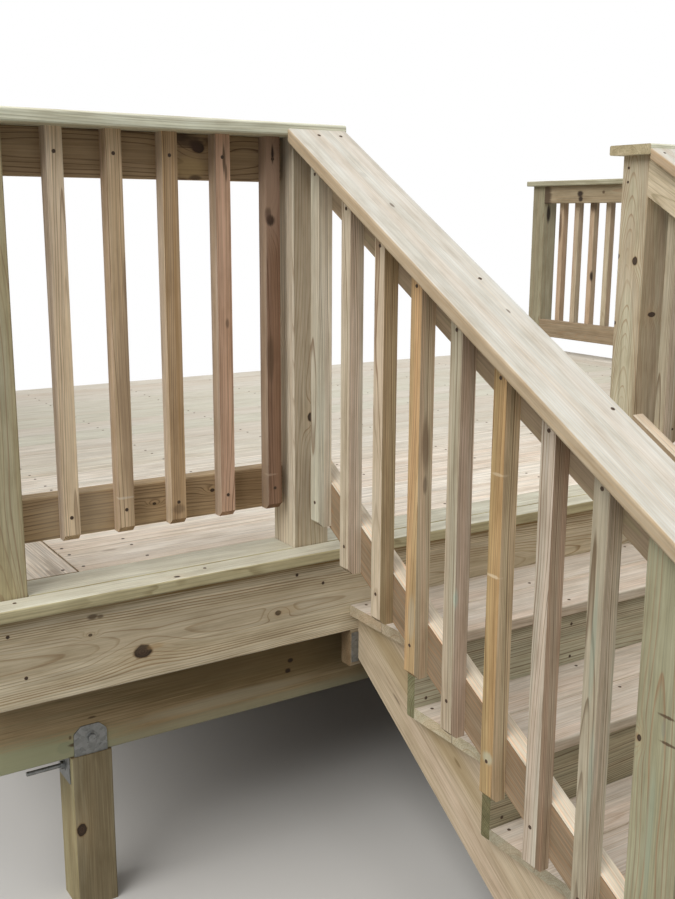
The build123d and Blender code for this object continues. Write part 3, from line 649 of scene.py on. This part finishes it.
finish_with("side_right_balusters", timber(
    "side_right_baluster_pine", "ZYX", (0.46, 0.35, 0.25), brown_line, pith=(1.8, 0, 0),
    row=(1, -0.5596, 0.1092), knot_share=0.5, marks=on_face("X", 1.784, (
        (1.578, 1.42, 0.09, 0.013, 0.8, (0.10, 0.06, 0.035)),
        (1.335, 1.172, 0.030, 0.013, 1.0, (0.04, 0.025, 0.015)),
        (1.345, 1.525, 0.035, 0.024, 0.7, dark_stain)))))
rail_knots = {"front_left_top_rail": on_face("Y", rail_face_y, ((-1.342, 1.600, 0.0105),))}
plain_rail_knots = on_face("Y", rail_face_y, ((-1.3265, 0.893, 0.004), (-1.46, 0.882, 0.003)))
rail_marks = {
    "front_left_top_rail": on_face("Y", rail_face_y, (
        (-1.362, 1.562, 0.042, 0.024, 0.55, (0.50, 0.36, 0.17)),
        (-1.362, 1.612, 0.034, 0.016, 0.75, (0.07, 0.042, 0.025)),
        (-1.380, 1.619, 0.022, 0.008, 0.85, (0.06, 0.036, 0.022)),
        (-1.346, 1.604, 0.018, 0.014, 0.85, (0.06, 0.034, 0.022)),
        (-1.350, 1.542, 0.016, 0.006, 0.85, dark_stain), (-1.376, 1.537, 0.013, 0.004, 0.8, dark_stain),
        (-1.318, 1.616, 0.020, 0.005, 0.7, dark_stain))),
    "side_right_top_rail": on_face("X", right_post_x, (
        (1.646, 1.575, 0.040, 0.070, 0.9, (0.065, 0.04, 0.022)),
        (1.405, 1.584, 0.024, 0.018, 1.0, (0.03, 0.018, 0.01)),
        (1.400, 1.557, 0.017, 0.016, 1.0, (0.03, 0.018, 0.01)),
        (1.245, 1.590, 0.011, 0.009, 0.9, dark_stain))),
    "front_left_bottom_rail": on_face("Y", rail_face_y, (
        (-1.235, 0.885, 0.075, 0.06, 0.55, (0.20, 0.12, 0.055)),
        (-1.62, 0.885, 0.10, 0.06, 0.3, (0.60, 0.50, 0.36)))),
}
for side in ("left", "right"):
    for level, heart_z, rail_tone in (
        ("top", 1.585, (0.36, 0.255, 0.145)), ("bottom", 0.885 - 0.06, (0.45, 0.32, 0.18)),
    ):
        rail_name = f"front_{side}_{level}_rail"
        finish_with(rail_name, timber(
            rail_name + "_pine", "XZY", rail_tone, (0.135, 0.08, 0.042), pith=(0, -0.57, heart_z),
            # Edge_tints brighten the rails' top and under faces: partly painted light on their tops, partly
            # paler bleached wood.
            wander=0.045, band=(0.42, 0.30, 0.17), contrast=0.9, edge_tints=((1.2, 1.25, 1.3),),
            knots=rail_knots.get(rail_name, plain_rail_knots), marks=rail_marks.get(rail_name, ())))
for side, heart_x, top_tone, bottom_tone in (
    ("left", -1.70, honey, honey), ("right", 1.70, (0.325, 0.262, 0.168), (0.27, 0.205, 0.13)),
):
    for level, heart_z, rail_tone in (("top", 1.59, top_tone), ("bottom", 0.87, bottom_tone)):
        rail_name = f"side_{side}_{level}_rail"
        finish_with(rail_name, timber(
            rail_name + "_pine", "YZX", rail_tone, brown_line, pith=(heart_x, 0, heart_z), wander=0.05,
            knot_share=0.4, marks=rail_marks.get(rail_name, ())))

# Stair railings: sloped pine rails and caps between the stair post and the foot post, with balusters
# cut plumb and screwed on. The grain of rails and caps follows their slope. The left balusters'
# tones go from the foot of the flight up, and the right ones' the other way.
rail_rise = 0.5785
slope = atan(rail_rise)
stair_baluster_pitch = 0.1175
pink = (0.64, 0.50, 0.39)
stair_tints = (
    (0.71, 0.77, 0.80), (0.95, 0.98, 1.10), (0.82, 0.67, 0.46), (0.85, 0.87, 0.90),
    (1.0, 0.81, 0.60), (1.07, 1.06, 1.10), (1.0, 1.07, 1.14), (1.03, 1.12, 1.24),
)
stair_edge_tints = (
    (1.10, 1.14, 1.22), (0.85, 0.76, 0.75), (1.08, 1.03, 0.92), (0.95, 0.90, 0.96),
    (1.08, 1.02, 0.97), (0.82, 0.74, 0.60), (1.18, 1.18, 1.28), (1.33, 1.48, 1.66),
)
stair_marks = on_face("X", -1.1355, (
    (-1.3316, 0.8691, 0.0035, 0.020, 0.6, (0.74, 0.62, 0.44)),
    (-1.335, 1.048, 0.003, 0.020, 0.4, (0.74, 0.62, 0.44)),
    (-1.335, 0.5315, 0.014, 0.014, 0.5, (0.50, 0.54, 0.42)),
    (-1.234, 0.7955, 0.022, 0.009, 0.5, (0.42, 0.56, 0.46)),
    (-1.568, 0.83, 0.12, 0.006, 0.4, (0.30, 0.38, 0.30)),
    (-1.578, 0.61, 0.10, 0.006, 0.4, (0.28, 0.34, 0.27))))
stair_marks += on_face("X", -1.1194, (
    (-1.1131, 1.055, 0.060, 0.010, 0.6, (0.15, 0.09, 0.05)), (-1.1131, 0.98, 0.020, 0.006, 0.6, dark_stain)))
stair_marks += ((-1.1355, -1.10, 0.715, 0.05, 0.012, 0.35, (0.40, 0.40, 0.33)),)
cap_marks = (
    (-1.1054, -0.9737, 1.4892, 0.010, 0.004, 0.75, dark_stain),
    (-1.0764, -1.2778, 1.3133, 0.008, 0.003, 0.75, dark_stain),
    (-1.1027, -0.8730, 1.5475, 0.012, 0.008, 0.35, (0.40, 0.38, 0.33)),
)
for side, heart_x in (("left", -1.13545), ("right", -0.0273)):
    at_left = side == "left"
    finish_with(f"stair_{side}_balusters", timber(
        f"stair_{side}_baluster_pine", "ZYX", (0.605, 0.49, 0.345), (0.25, 0.165, 0.095),
        pith=(heart_x, 0, 0), row=(1, -1.6258, stair_baluster_pitch), ring=0.0034, contrast=1.0,
        band_share=0.6,
        own_tints=stair_tints if at_left else stair_tints[::-1],
        edge_tints=stair_edge_tints if at_left else stair_edge_tints[::-1],
        knot_share=0.0 if at_left else 0.4, marks=stair_marks if at_left else ()))
    for level, heart_z in (("top", 1.25), ("bottom", 0.6)):
        rail_name = f"stair_{side}_{level}_rail"
        finish_with(rail_name, timber(
            rail_name + "_pine", "YZX",
            straw if rail_name == "stair_right_top_rail" else (0.275, 0.204, 0.129),
            rust_line if level == "bottom" else olive_line, pith=(heart_x + 0.07, -1.2, heart_z),
            # Edge_tints make the sloped rails' top and under faces about three times brighter: partly painted
            # light on their tops, partly paler bleached wood.
            lean=slope, wander=0.06, band=tan, contrast=0.8, edge_tints=((2.4, 2.85, 3.55),)))
    finish_with(f"stair_{side}_cap", timber(
        f"stair_{side}_cap_pine", "YXZ", (0.595, 0.58, 0.52), honey, pith=(heart_x + 0.16, -1.2, 1.23),
        ring=0.0055, lean=slope, wander=0.02, grit=0.6, contrast=0.26, knot_share=0.1, band=pink,
        band_share=0.25, edge_tints=((0.80, 0.66, 0.50),), marks=cap_marks))

# Flat caps: one pine board with rounded edges, screwed down flat on posts and rails. They are a
# little greener than the rest, and the one on the right side railing has a darker edge.
for cap_name, lie, heart, edge_tone in (
    ("front_left_cap", "XYZ", (0, -0.66, 1.56), (1.2, 1.26, 1.32)),
    ("front_right_cap", "XYZ", (0, -0.62, 1.59), (1.2, 1.26, 1.32)),
    ("side_left_cap", "YXZ", (-1.80, 0, 1.58), (1.2, 1.26, 1.32)),
    ("side_right_cap", "YXZ", (1.79, 0, 1.59), (0.62, 0.61, 0.58)),
):
    finish_with(cap_name, timber(
        cap_name + "_pine", lie, pale_green, olive_line, pith=heart, wander=0.04, contrast=0.5,
        knot_share=0.1, band=cream, edge_tints=(edge_tone,)))

# Flight: three stringers sawn from pine planks, treads of two boards each, and risers with bold dark
# lines, all screwed together. The treads run over the stringers, and their cut ends show.
flight_slope = atan(0.64)
first_drop = 0.146
tread_rise = 0.151
tread_run = 0.252
tread_depth = 0.268
tread_tops = [deck_top - first_drop - (step - 1) * tread_rise for step in range(1, 5)]
step_faces = [rim_face_y - (step - 1) * tread_run for step in range(1, 6)]
tread_tones = ((0.60, 0.55, 0.48), (0.55, 0.50, 0.43), (0.55, 0.50, 0.43), (0.55, 0.50, 0.43))
tread_ends = ((0.80, 0.76, 0.63), (1.0, 1.02, 0.86), (0.72, 0.74, 0.64), (0.88, 0.82, 0.70))
stringer_marks = on_face("X", -1.00635, (
    (-1.0963, 0.3741, 0.016, 0.005, 0.85, dark_stain), (-0.8805, 0.4279, 0.020, 0.003, 0.6, dark_stain),
    (-0.97, 0.45, 0.36, 0.036, 0.58, (0.345, 0.25, 0.118))))
for side, middle_x in (("left", -0.99), ("middle", -0.58), ("right", -0.18)):
    finish_with(f"{side}_stringer", timber(
        f"{side}_stringer_pine", "YZX", (0.545, 0.45, 0.305), brown_line,
        pith=(middle_x + 0.14, -1.2, 0.30), lean=flight_slope, ring=0.0065, wander=0.05, contrast=0.32,
        band=pink, band_share=0.6, end_tone=(0.9, 0.85, 0.75), marks=stringer_marks))
for step in range(4):
    finish_with(f"tread_{step + 1}", timber(
        f"tread_{step + 1}_pine", "XYZ", tread_tones[step], rust_line, pith=(0, 0, tread_tops[step]),
        row=(1, step_faces[step] - tread_depth, 0.1404), tints=deck_look["tints"], band=pink,
        contrast=0.35, end_tone=tread_ends[step], edge_tints=((0.95, 0.93, 0.86),)))
finish_with("risers", timber(
    "riser_pine", "XZY", (0.45, 0.42, 0.30), (0.20, 0.13, 0.075), pith=(0, 0, 0.4),
    row=(1, step_faces[4] - 0.1, tread_run), contrast=0.95, band=straw, end_tone=(0.50, 0.52, 0.40),
    own_tints=((0.62, 0.50, 0.40), (0.66, 0.53, 0.42), (0.78, 0.76, 0.70), (1.0, 1.02, 1.02))))

# Baluster screws: coated steel, one at each end of every baluster, driven through it into the rail
# behind. Those of the stairs stand at the heights that the sloped rails have there.
baluster_size = 0.032
side_baluster_face_x = 1.81635
top_screw_z = 1.582
bottom_screw_z = 0.887


def even_middles(bay_start, gap, count):
    """Middles of balusters in a bay, with equal gaps between them and before the first."""
    return [bay_start + gap + baluster_size / 2 + number * (gap + baluster_size) for number in range(count)]


baluster_middles = [stair_left_x - 0.0365 - left_baluster_pitch * number for number in range(5)]
baluster_middles += even_middles(stair_right_x + post, 0.07973, 15)
places = [(x, baluster_face_y, z) for x in baluster_middles for z in (top_screw_z, bottom_screw_z)]
drive_screws("front_baluster_screws", places, (0, -1, 0))
for outward, side in ((-1, "left"), (1, "right")):
    face_x = outward * side_baluster_face_x
    side_middles = even_middles(front_y + post, 0.07717, 20)
    places = [(face_x, y, z) for y in side_middles for z in (top_screw_z, bottom_screw_z)]
    drive_screws(f"side_{side}_baluster_screws", places, (outward, 0, 0))
stair_screw_heights = (1.584, 0.897)
first_stair_middle = front_y - 0.0415 - baluster_size / 2
stair_middles = [first_stair_middle - number * stair_baluster_pitch for number in range(8)]
for face_x, outward, side in ((-1.13545, -1, "left"), (-0.02725, 1, "right")):
    places = [
        (face_x, y, z + rail_rise * (y - front_y)) for y in stair_middles for z in stair_screw_heights]
    drive_screws(f"stair_{side}_baluster_screws", places, (outward, 0, 0))

# Board screws: coated steel, driven down in pairs where the deck boards cross the joists, in pairs
# along the border boards, and one by one through the front strip into the rim under it.
pair_step = 0.045
border_screw_pitch = 0.2655
edge_screw_pitch = 0.3955
joist_lines = [stair_left_x + post + 0.019 + number * joist_pitch for number in range(-1, 7)]
board_lines = [-1.595] + joist_lines + [1.595]
board_middles = [field_start + board_width / 2 + number * board_pitch for number in range(16)]
places = [
    (x, y + step * pair_step, deck_top) for x in board_lines for y in board_middles for step in (-1, 1)]
drive_screws("field_board_screws", places, (0, 0, 1))
border_rows = [front_y + 0.115 + number * border_screw_pitch for number in range(9)]
for outward, side in ((-1, "left"), (1, "right")):
    middles = [outward * (deck_outer - board_width / 2 - number * board_pitch) for number in range(2)]
    places = [
        (x + step * pair_step, y, deck_top) for x in middles for y in border_rows for step in (-1, 1)]
    drive_screws(f"{side}_border_screws", places, (0, 0, 1))
places = [(-1.78 + number * edge_screw_pitch, rim_face_y + 0.012, deck_top) for number in range(10)]
drive_screws("edge_strip_screws", places, (0, 0, 1))

# Tread and riser screws: coated steel, two in each tread board and two in each riser at each of the
# three stringers, which they are driven into.
stringer_lines = (-1.00, -0.58135, -0.163)
tread_pair_step = 0.042
tread_thickness = 0.0254
for step in range(4):
    tread_middles = (step_faces[step] - tread_depth + board_width / 2, step_faces[step] - 0.064)
    places = [
        (x, y + outward * tread_pair_step, tread_tops[step])
        for x in stringer_lines for y in tread_middles for outward in (-1, 1)]
    drive_screws(f"tread_{step + 1}_screws", places, (0, 0, 1))
places = [
    (x, step_faces[step], tread_tops[step - 1] - tread_thickness - drop)
    for step in range(1, 5) for x in stringer_lines for drop in (0.03, 0.11)]
drive_screws("riser_screws", places, (0, -1, 0))

# Rim screws: coated steel, driven through the face of the front rim into the posts behind it, two to
# a post.
places = [(-1.169, 0.6995), (-1.102, 0.6687), (-1.80, 0.69), (-1.77, 0.60)]
places += [(x + step, z) for x in (-0.053, 1.79) for step, z in ((-0.02, 0.69), (0.02, 0.59))]
drive_screws("front_rim_screws", on_face("Y", rim_face_y, places), (0, -1, 0))

# Post and cap screws: coated steel, driven through the posts into the ends of the rails, and down
# through the caps into rails and posts. Sloped caps have theirs square to the slope.
rail_end_y = -0.619
for post_name, face_x, outward in (
    ("right_stair_post", stair_right_x, -1), ("left_stair_post", stair_left_x + post, 1),
    ("left_corner_post", left_post_x, -1),
):
    places = [(face_x, rail_end_y, z) for z in (1.595, 1.559, 0.905, 0.866)]
    drive_screws(post_name + "_screws", places, (outward, 0, 0))
cap_top = 1.652
cap_pair_step = 0.035
side_cap_screw_pitch = 0.445
front_cap_middle_y = -0.6427
side_cap_middle_x = 1.7907
for side, low_x, high_x, count in (("left", -1.815, -1.092, 3), ("right", -0.075, 1.79, 6)):
    spacing = (high_x - low_x) / (count - 1)
    places = [
        (low_x + number * spacing, front_cap_middle_y + step * cap_pair_step, cap_top)
        for number in range(count) for step in (-1, 1)]
    drive_screws(f"front_{side}_cap_screws", places, (0, 0, 1))
for outward, side in ((-1, "left"), (1, "right")):
    places = [
        (outward * side_cap_middle_x + step * cap_pair_step, -0.52 + number * side_cap_screw_pitch, cap_top)
        for number in range(6) for step in (-1, 1)]
    drive_screws(f"side_{side}_cap_screws", places, (0, 0, 1))
sloped_cap_z = 1.655
both_caps_x = -1.1627
cap_screws = (
    (-1.119, -0.734), (-1.067, -0.734), (-1.069, -1.192), (-1.0605, -1.509), (-1.137, -1.735),
    (-1.075, -1.735))
for side in ("left", "right"):
    places = [
        (x if side == "left" else both_caps_x - x, y, sloped_cap_z + rail_rise * (y - front_y))
        for x, y in cap_screws]
    drive_screws(f"stair_{side}_cap_screws", places, (0, -sin(slope), cos(slope)))

# Post caps: galvanised steel plates on the beam faces and flanges down the sides of each short post,
# with hex bolts through both, nails in the plates and one long threaded end at the left.
galvanised, zinc, zinc_surface = new_material("galvanised", {"Metallic": 0.85})
zinc_place = add_node(zinc, "ShaderNodeTexCoord").outputs["Object"]
spangle = add_node(zinc, "ShaderNodeTexVoronoi", {"Vector": zinc_place, "Scale": 160.0}).outputs["Color"]
spangle = add_node(zinc, "ShaderNodeSeparateColor", {0: spangle}).outputs[0]
zinc_tone = colour_ramp(zinc, spangle, ((0, (0.18, 0.185, 0.18)), (1, (0.29, 0.295, 0.29))))
zinc.links.new(zinc_tone, zinc_surface.inputs["Base Color"])
zinc.links.new(remap(zinc, spangle, 0, 1, 0.42, 0.58), zinc_surface.inputs["Roughness"])
finish_with("beam_brackets", galvanised)


def round_edges(piece, edge):
    """Round the sharp edges of the active piece."""
    rounding = piece.modifiers.new("rounding", "BEVEL")
    rounding.width = edge
    rounding.segments = 2
    rounding.limit_method = "ANGLE"
    bpy.ops.object.modifier_apply(modifier="rounding")


def steel_block(low, high, edge):
    """A plate between two corners with lightly rounded edges."""
    bpy.ops.object.select_all(action="DESELECT")
    middle = [(high[i] + low[i]) / 2 for i in range(3)]
    bpy.ops.mesh.primitive_cube_add(size=1, location=middle)
    block = bpy.context.object
    block.scale = [high[i] - low[i] for i in range(3)]
    bpy.ops.object.transform_apply(location=False, rotation=False, scale=True)
    round_edges(block, edge)
    return block


def steel_disc(place, radius, depth, sides, turned=(0, 0, 0)):
    """A short round or hexagonal bar, such as a washer, a bolt head or a nail head."""
    bpy.ops.object.select_all(action="DESELECT")
    bpy.ops.mesh.primitive_cylinder_add(
        vertices=sides, radius=radius, depth=depth, location=place, rotation=turned)
    return bpy.context.object


def hex_bolt(place, facing):
    """A washer with a hex head on it, turned to face outwards. Returns the two pieces."""
    aim = Vector(facing).to_track_quat("Z", "Y")
    pieces = []
    for sides, radius, depth, lift, turn in (
        (28, 0.0125, 0.0016, 0.0008, 0.0), (6, 0.0092, 0.0062, 0.0046, 0.25),
    ):
        piece = steel_disc(Vector(place) + Vector(facing) * lift, radius, depth, sides)
        piece.rotation_euler = (aim @ Matrix.Rotation(turn, 3, "Z").to_quaternion()).to_euler()
        round_edges(piece, 0.0007)
        pieces.append(piece)
    return pieces


def nail_head(place):
    """The flat head of a nail that is driven in from the front or back."""
    return steel_disc(place, 0.0042, 0.0022, 16, (pi / 2, 0, 0))


def settle_hardware(name, pieces):
    """Join the pieces of a fitting, give them the zinc finish and settle them as one."""
    bpy.ops.object.select_all(action="DESELECT")
    for piece in pieces:
        piece.select_set(True)
    bpy.context.view_layer.objects.active = pieces[0]
    if len(pieces) > 1:
        bpy.ops.object.join()
    pieces[0].data.materials.clear()
    pieces[0].data.materials.append(galvanised)
    settle(name)


beam_bottom = 0.3562
beam_depth = 0.0765
beam_post_middles = (-beam_post_spacing, 0.0, beam_post_spacing)
plate = 0.003
flange_bolt_z = beam_bottom - 0.031
for beam_y, row_name in ((front_beam_y, "front"), (back_beam_y, "back")):
    hardware = []
    for middle_x in beam_post_middles:
        for face_y, outward in ((beam_y - plate, -1), (beam_y + beam_depth + plate, 1)):
            hardware += hex_bolt((middle_x + 0.002, face_y, beam_bottom + 0.038), (0, outward, 0))
            for nail_x in (-0.020, 0.022):
                nail_place = (middle_x + nail_x, face_y + outward * 0.0006, beam_bottom + 0.014)
                hardware.append(nail_head(nail_place))
        post_y = beam_y + beam_depth / 2
        for outward in (-1, 1):
            side_x = middle_x + outward * (post / 2 + plate / 2)
            low = (side_x - plate / 2, post_y - 0.034, beam_bottom - 0.062)
            high = (side_x + plate / 2, post_y + 0.034, beam_bottom)
            hardware.append(steel_block(low, high, 0.0008))
            hardware += hex_bolt((side_x + outward * plate / 2, post_y, flange_bolt_z), (outward, 0, 0))
    settle_hardware(f"{row_name}_post_caps", hardware)
rod_place = (beam_post_middles[0] - post / 2 - plate - 0.042, front_beam_y + beam_depth / 2, flange_bolt_z)
settle_hardware("threaded_end", [steel_disc(rod_place, 0.0048, 0.075, 20, (0, pi / 2, 0))])

# Stringer ties: a strip of galvanised steel beside each stringer, nailed to the board under the rim,
# which keeps the head of the stringer in its place.
for stringer_x, outward, side in ((-1.00635, -1, "left"), (-0.60040, -1, "middle"), (-0.15635, 1, "right")):
    near_x, far_x = sorted((stringer_x + outward * 0.0005, stringer_x + outward * 0.0185))
    tie = [steel_block((near_x, rim_face_y - 0.002, 0.462), (far_x, rim_face_y, 0.534), 0.0006)]
    tie += [nail_head(((near_x + far_x) / 2, rim_face_y - 0.0026, nail_z)) for nail_z in (0.474, 0.522)]
    settle_hardware(f"{side}_stringer_tie", tie)

bpy.data.objects.remove(first_screw)
